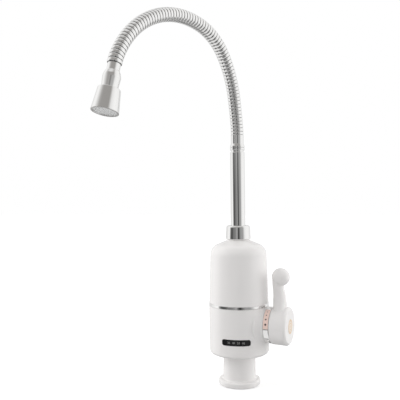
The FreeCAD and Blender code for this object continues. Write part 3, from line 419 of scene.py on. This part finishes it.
tree.links.new(mixed(tree, rings.outputs[0], plain, ring_orange), shader.inputs["Base Color"])
dress(white_plastic, "control_lever")
dress(brass, "valve_stem")
dress(steel, "lever_screw")
dress(cap_print, "knob_cap")

# Heater: a grey moulded chamber on the riser, with a lid screwed on over a seal. A steel heating coil stands
# in it on brass terminals, and a steel cut-out disc is clipped against its wall.
dress(inner_plastic, "heater_tank", "tank_lid")
dress(rubber, "outlet_o_ring", "tank_seal")
dress(steel, "lid_screws", "heating_coil", "thermal_cutout")
dress(brass, "coil_terminals")

# Band and upper casing: a chrome ring covers the joint between the casings, and the white upper casing drops
# over the heater and tapers to the shoulder under the nut.
dress(chrome, "trim_ring")
dress(white_plastic, "upper_casing")

# Pipe: a chromed nut on the lid's nipple holds the collar of the drawn chrome pipe, which swivels on two
# rubber rings. A beaded chrome ferrule plugs the pipe's top and takes the gooseneck, with shade painted into
# the seam round its bead as a darker, duller ring.
seam_height = 0.24585
seam_half = 0.0003
seam_shade_tone = (0.7, 0.69, 0.68)
ring_dullness = 0.4


def ringed(name, way, middle, half, tone):
    """Copy of the chrome with a ring of painted shade, darker in tone and duller, about a place along a
    direction.
    """
    material = chrome.copy()
    material.name = name
    tree = material.node_tree
    shader = tree.nodes["Principled BSDF"]
    along = tree.nodes.new("ShaderNodeVectorMath")
    along.operation = "DOT_PRODUCT"
    along.inputs[1].default_value = way
    tree.links.new(tree.nodes["Texture Coordinate"].outputs["Object"], along.inputs[0])
    ring = calc(tree, "COMPARE", along.outputs["Value"], middle, half)
    plain = shader.inputs["Base Color"].links[0].from_socket
    polish = shader.inputs["Roughness"].links[0].from_socket
    tree.links.new(mixed(tree, ring, plain, tone), shader.inputs["Base Color"])
    tree.links.new(calc(tree, "MULTIPLY_ADD", ring, ring_dullness, polish), shader.inputs["Roughness"])
    return material


# The ferrule's seam ring is painted shade: a darker tone and more roughness round the bead.
seam_shaded_chrome = ringed("seam_shaded_chrome", (0, 0, 1), seam_height, seam_half, seam_shade_tone)
dress(chrome, "spout_nut", "spout_pipe")
dress(seam_shaded_chrome, "hose_ferrule")
dress(rubber, "spout_o_rings")

# Gooseneck: a flexible arm of 72 flat-topped chromed ribs with dark grooves between them, which bends in one
# plane and stays. One rib is drawn out of a circle, copied in rows, and laid along the arm's line, in eight
# lengths.
# The dark metal in the grooves is painted shade, standing in for the shade between the ribs.
spout_heading = math.radians(20)
hose_foot = 0.259
hose_bends = ((0.106, 6.4), (0.46, 3.5), (0.107, 22.6), (0.0578, 41.7), (0.0856, 80.0), (0.05, 11.8))
hose_length = sum(radius * math.radians(degrees) for radius, degrees in hose_bends)
rib_count = 72
rib_pitch = hose_length / rib_count
groove_radius = 0.0058
rib_rise = 0.0008
rib_half_width = 0.00162
crest_steps = 10
crest_flatness = 0.35
groove_share = 0.4
rib_edge = math.radians(40)
hinge_count = 8
hinge_ribs = 8
half_ribs = hinge_ribs // 2
bend_margin = 0.003
rib_chrome = finish("ribbed_chrome", tone=(0.91, 0.905, 0.895), deep_tone=(0.86, 0.855, 0.845),
                    scale=140, smooth=0.08, rough=0.16, relief=0.000004, metallic=1.0)
groove_painted_shade = finish("groove_painted_shade", tone=(0.34, 0.34, 0.34), deep_tone=(0.26, 0.26, 0.26),
                      scale=300, smooth=0.4, rough=0.55, relief=0.00001, metallic=1.0)


def hose_place(distance):
    """Point on the gooseneck's centre line at a distance from its foot, and the line's direction there."""
    out, height, angle, left = 0.0, hose_foot, math.pi / 2, distance
    for radius, degrees in hose_bends:
        step = min(left / radius, math.radians(degrees))
        out += radius * (math.sin(angle) - math.sin(angle - step))
        height += radius * (math.cos(angle - step) - math.cos(angle))
        angle -= step
        left -= radius * step
    sideways, forwards = -math.sin(spout_heading), -math.cos(spout_heading)
    way = (sideways * math.cos(angle), forwards * math.cos(angle), math.sin(angle))
    return (sideways * out, forwards * out, height), way


bpy.ops.object.select_all(action="DESELECT")
bpy.ops.curve.primitive_bezier_curve_add()
hose_line = bpy.context.object
hose_line.data.resolution_u = 64
hose_line.data.use_deform_bounds = False
knots = hose_line.data.splines[0].bezier_points
knots.add(len(hose_bends) - 1)
handles = [radius * 4 / 3 * math.tan(math.radians(degrees) / 4) for radius, degrees in hose_bends]
distance = 0.0
for index, knot in enumerate(knots):
    point, way = hose_place(distance)
    before = handles[max(index - 1, 0)]
    after = handles[min(index, len(handles) - 1)]
    knot.handle_left_type = "FREE"
    knot.handle_right_type = "FREE"
    knot.co = point
    knot.handle_left = [place - before * step for place, step in zip(point, way)]
    knot.handle_right = [place + after * step for place, step in zip(point, way)]
    if index < len(hose_bends):
        radius, degrees = hose_bends[index]
        distance += radius * math.radians(degrees)

rib_outline = [(groove_radius, 0.5 * rib_pitch - rib_half_width)]
for index in range(1, crest_steps):
    swing = math.pi * index / crest_steps
    crest = groove_radius + rib_rise * math.sin(swing) ** crest_flatness
    rib_outline.append((crest, 0.5 * rib_pitch - rib_half_width * math.cos(swing)))
rib_outline += [(groove_radius, 0.5 * rib_pitch + rib_half_width), (groove_radius, rib_pitch)]
bpy.ops.object.select_all(action="DESELECT")
bpy.ops.mesh.primitive_circle_add(vertices=40, radius=groove_radius)
one_rib = bpy.context.object
bpy.ops.object.mode_set(mode="EDIT")
bpy.ops.mesh.select_all(action="SELECT")
draw_out(0.0, groove_radius, rib_outline)
bpy.ops.object.mode_set(mode="OBJECT")
one_rib.data.materials.append(rib_chrome)
one_rib.data.materials.append(groove_painted_shade)
# Faces low between the ribs take the painted groove shade.
for face in one_rib.data.polygons:
    if math.hypot(face.center.x, face.center.y) < groove_radius + groove_share * rib_rise:
        face.material_index = 1

for number in range(1, hinge_count + 1):
    first_rib = 0 if number == 1 else hinge_ribs * number - half_ribs
    last_rib = rib_count if number == hinge_count else hinge_ribs * number + half_ribs
    ribs = copy_of(one_rib, "gooseneck_ribs_%d" % number)
    ribs.location = (0, 0, first_rib * rib_pitch)
    bpy.ops.object.transform_apply(location=True)
    row = ribs.modifiers.new("row", "ARRAY")
    row.use_relative_offset = False
    row.use_constant_offset = True
    row.constant_offset_displace = (0, 0, rib_pitch)
    row.count = last_rib - first_rib
    row.use_merge_vertices = True
    row.merge_threshold = 0.00001
    lay = ribs.modifiers.new("lay", "CURVE")
    lay.object = hose_line
    lay.deform_axis = "POS_Z"
    for step in ("row", "lay"):
        bpy.ops.object.modifier_apply(modifier=step)
    close_mesh()
    bpy.ops.object.shade_smooth_by_angle(angle=rib_edge)
    hinge = hinge_ribs * number * rib_pitch
    zone = half_ribs * rib_pitch - bend_margin
    hose_place(hinge - zone)[0]
    hose_place(hinge + zone)[0]
    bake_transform(ribs)
    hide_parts("gooseneck_%d" % number)
    if number == hinge_count:
        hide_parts("gooseneck_9", "water_tube")
bpy.data.objects.remove(one_rib)
bpy.data.objects.remove(hose_line)

# Nozzle: a chromed neck with a bulge screws onto the gooseneck, and the flared chrome shell, with shade
# painted on its cut lip as a darker, duller ring, screws onto that. A rubber washer, a swirl cup and a pale
# spray plate with rings of holes sit in it.
nozzle_reach = 0.0432
lip_half = 0.0005
lip_shade_tone = (0.72, 0.71, 0.7)
spray_plate = finish("pale_plate", tone=(0.9, 0.905, 0.9), deep_tone=(0.85, 0.855, 0.85),
                     scale=250, smooth=0.25, rough=0.38, relief=0.00002)
hose_end, way = hose_place(hose_length)
lip_place = sum(place * step for place, step in zip(hose_end, way)) + nozzle_reach
# The lip's ring is painted shade: a darker tone and more roughness at the shell's lip.
lip_shaded_chrome = ringed("lip_shaded_chrome", way, lip_place, lip_half, lip_shade_tone)
dress(chrome, "nozzle_adapter")
dress(lip_shaded_chrome, "nozzle_shell")
dress(rubber, "nozzle_washer")
dress(spray_plate, "aerator_core", "aerator_screen")

# Studio: a white floor that keeps the shadow, a soft lamp on the left, and a white surround that is dimmest
# on the camera's side. Metal finds a light tent in it: tall grey and black panels with a little haze over
# them, a canopy and a grey top above, and a pale ground that is shaded in front.
camera_heading = math.radians(25)
right = (math.cos(camera_heading), math.sin(camera_heading))
toward = (math.sin(camera_heading), -math.cos(camera_heading))
white = (1.0, 1.0, 1.0)
floor_size = 12
floor_drop = 0.0002
floor_tone = (0.6, 0.6, 0.6)
floor_glow = 0.5
bpy.ops.object.select_all(action="DESELECT")
bpy.ops.mesh.primitive_plane_add(size=floor_size, location=(0, 0, -floor_drop))
floor = bpy.context.object
floor.name = "floor"
bpy.ops.object.transform_apply(location=True)
floor.visible_glossy = False
floor_white = bpy.data.materials.new("floor_white")
floor_white.use_nodes = True
tree = floor_white.node_tree
shader = tree.nodes["Principled BSDF"]
shader.inputs["Base Color"].default_value = (*floor_tone, 1.0)
shader.inputs["Roughness"].default_value = 0.9
shader.inputs["Emission Color"].default_value = (*white, 1.0)
path = tree.nodes.new("ShaderNodeLightPath")
seen = calc(tree, "MAXIMUM", path.outputs["Is Camera Ray"], path.outputs["Is Transmission Ray"])
tree.links.new(calc(tree, "MULTIPLY", seen, floor_glow), shader.inputs["Emission Strength"])
floor.data.materials.append(floor_white)

# The tent's tones stand at bearings in degrees, with 0 on the camera's side and 90 on the right. Its heights
# are those of a mirrored ray of length 1.
panels = ((-180, 0.7), (-140, 0.8), (-120, 0.92), (-104, 1.0), (-91, 1.0), (-84, 0.35), (-76, 0.1),
          (-56, 0.09), (-49, 0.2), (-35, 0.2), (-24, 0.27), (-14, 0.42), (-9, 0.25), (-4, 0.04), (4, 0.04),
          (10, 0.2), (22, 0.36), (32, 0.34), (40, 0.36), (51, 0.62), (60, 0.9), (90, 1.0), (122, 0.95),
          (147, 0.75), (180, 0.7))
canopy = ((-180, 0.5), (-150, 0.8), (-100, 1.0), (-75, 1.0), (-52, 0.72), (-34, 0.43), (-21, 0.36),
          (27, 0.35), (35, 0.56), (44, 0.84), (64, 0.95), (94, 1.0), (130, 0.95), (160, 0.6), (180, 0.5))
canopy_warmth = 0.015
canopy_overhang = 0.6
haze_heights = (0.02, 0.16)
haze_share = 0.16
canopy_heights = (0.3, 0.45)
top_heights = (0.85, 0.95)
top_tone = (0.78, 0.78, 0.78)
ground_heights = (-0.3, -0.4)
ground_tilt_front = -0.1
ground_tilt_left = -0.15
ground_rear = 0.3
ground_pale = 0.85
ground_shade = 0.65
rear_edge = (-0.15, 0.05)
shade_edge = (0.5, 0.75)
left_edge = (-0.25, -0.5)
fill_edge = (-0.1, 0.1)
left_fill = 1.2
right_fill = 2.2
rear_fill = 0.42
even_fill = 0.39
surround = bpy.data.worlds.new("surround")
bpy.context.scene.world = surround
surround.use_nodes = True
tree = surround.node_tree
x, y, z = axes_of(tree, tree.nodes.new("ShaderNodeTexCoord").outputs["Generated"])
facing = calc(tree, "MULTIPLY_ADD", x, toward[0], calc(tree, "MULTIPLY", y, toward[1]))
aside = calc(tree, "MULTIPLY_ADD", x, right[0], calc(tree, "MULTIPLY", y, right[1]))
tones = []
for tier, warmth, overhang in ((panels, 0.0, 0.0), (canopy, canopy_warmth, canopy_overhang)):
    bearing = calc(tree, "ARCTAN2", aside, calc(tree, "MULTIPLY_ADD", z, overhang, facing))
    ramp = tree.nodes.new("ShaderNodeValToRGB")
    tree.links.new(calc(tree, "MULTIPLY_ADD", bearing, 0.5 / math.pi, 0.5), ramp.inputs[0])
    stops = ramp.color_ramp.elements
    for degrees, _ in tier[1:-1]:
        stops.new(degrees / 360 + 0.5)
    for stop, (_, tone) in zip(stops, tier):
        stop.color = (tone, tone - warmth * (1 - tone), tone - 2 * warmth * (1 - tone), 1.0)
    tones.append(ramp.outputs[0])


def graded(along, start, end, low, high):
    """Value that goes from low to high while another goes from start to end."""
    grade = new_node(tree, "MapRange", From_Min=start, From_Max=end, To_Min=low, To_Max=high)
    tree.links.new(along, grade.inputs["Value"])
    return grade.outputs[0]


hazy = mixed(tree, graded(z, *haze_heights, 0.0, haze_share), tones[0], white)
walls = mixed(tree, graded(z, *canopy_heights, 0.0, 1.0), hazy, tones[1])
tent = mixed(tree, graded(z, *top_heights, 0.0, 1.0), walls, top_tone)
lit_ground = graded(facing, *rear_edge, ground_rear, ground_pale)
front_shade = graded(facing, *shade_edge, 0.0, ground_shade)
left_ground = graded(aside, *left_edge, 0.0, ground_pale)
ground = calc(tree, "MAXIMUM", calc(tree, "SUBTRACT", lit_ground, front_shade), left_ground)
leftward = calc(tree, "MINIMUM", aside, 0.0)
tilted = calc(tree, "MULTIPLY_ADD", facing, ground_tilt_front, z)
slope = calc(tree, "MULTIPLY_ADD", leftward, ground_tilt_left, tilted)
mirrored = mixed(tree, graded(slope, *ground_heights, 0.0, 1.0), tent, ground)
sides = calc(tree, "MULTIPLY", aside, aside)
beside = calc(tree, "MULTIPLY", sides, graded(aside, *fill_edge, left_fill, right_fill))
behind = calc(tree, "MINIMUM", facing, 0.0)
rear = calc(tree, "MULTIPLY_ADD", behind, calc(tree, "MULTIPLY", behind, rear_fill), even_fill)
fill = calc(tree, "ADD", beside, rear)
path = tree.nodes.new("ShaderNodeLightPath")
light = mixed(tree, path.outputs["Is Glossy Ray"], fill, mirrored)
seen = calc(tree, "MAXIMUM", path.outputs["Is Camera Ray"], path.outputs["Is Transmission Ray"])
tree.links.new(mixed(tree, seen, light, white), tree.nodes["Background"].inputs["Color"])

lamp_left = 0.945
lamp_back = 0.08
lamp_height = 0.7
lamp_aim = 0.15
lamp = bpy.data.lights.new("left_lamp", "AREA")
lamp.shape = "RECTANGLE"
lamp.size = 0.7
lamp.size_y = 1.0
lamp.energy = 4.6
holder = bpy.data.objects.new("left_lamp", lamp)
bpy.context.collection.objects.link(holder)
spot = [-lamp_left * r - lamp_back * t for r, t in zip(right, toward)]
lean = math.atan2(math.hypot(*spot), lamp_height - lamp_aim)
holder.location = (*spot, lamp_height)
holder.rotation_euler = (0, lean, math.atan2(spot[1], spot[0]))
holder.visible_glossy = False

# Camera: level, at the height of the pipe, about 0.58 m off and turned 25 degrees towards the lever's side.
# It has a slight roll, as the photograph shows.
lens_distance = 0.5759
lens_offset = -0.0396
lens_height = 0.1916
lens_roll = math.radians(0.6)
eye = bpy.data.cameras.new("camera")
eye.lens = 49.5
eye.sensor_width = 36.0
camera = bpy.data.objects.new("camera", eye)
bpy.context.collection.objects.link(camera)
stance = [lens_distance * t + lens_offset * r for t, r in zip(toward, right)]
camera.location = (*stance, lens_height)
camera.rotation_euler = (math.pi / 2, lens_roll, camera_heading)
bpy.context.scene.camera = camera
bpy.context.scene.view_settings.view_transform = "Standard"
